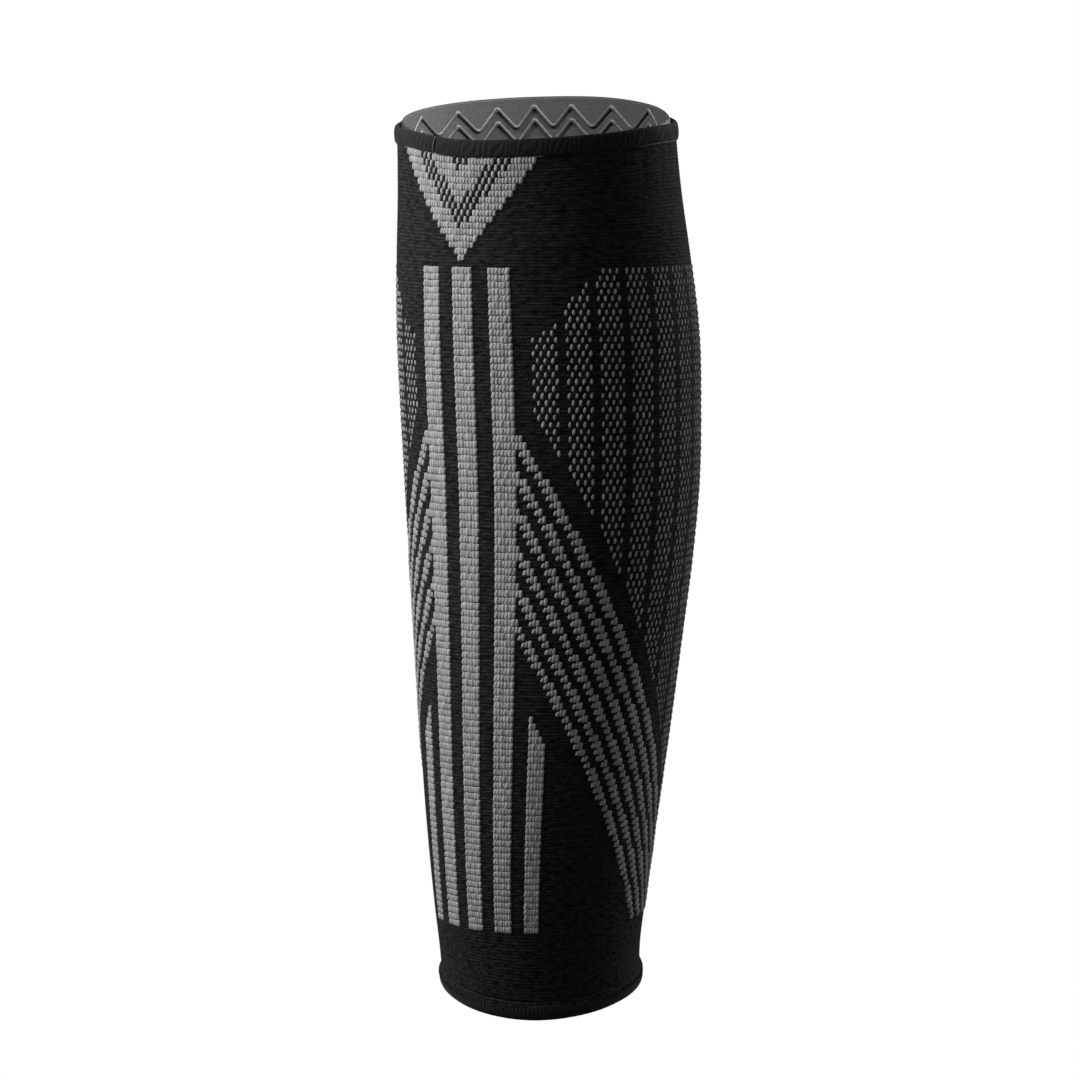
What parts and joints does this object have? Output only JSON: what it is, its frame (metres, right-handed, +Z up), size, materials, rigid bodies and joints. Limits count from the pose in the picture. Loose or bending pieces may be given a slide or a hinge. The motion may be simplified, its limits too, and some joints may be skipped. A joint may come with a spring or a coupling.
{
  "type": "calf compression sleeve",
  "caption": "Knitted tubular calf sleeve in its worn form, open at knee and ankle, with a rolled top welt, a turned hem and a beaded elastic grip band inside the top.",
  "frame": {"origin": "on the leg's axis at the level of the grip band inside the top, which holds the sleeve up on the leg", "axes": "+Z up along the leg towards the knee, -Y towards the shin, +Y towards the calf, +X to the side"},
  "size_m": [0.1131, 0.117, 0.3384],
  "materials": {
    "black_knit": "matt double knit with a grey knitted-in pattern",
    "black_welt": "matt ribbed and rolled knit",
    "grey_elastic": "matt woven elastic",
    "silicone": "satin translucent silicone bead"
  },
  "bodies": {
    "root": {"knit_sleeve": "black_knit", "top_welt": "black_welt", "bottom_welt": "black_welt", "grip_band": "grey_elastic", "grip_zigzag_upper": "silicone", "grip_zigzag_lower": "silicone"}
  },
  "joints": []
}
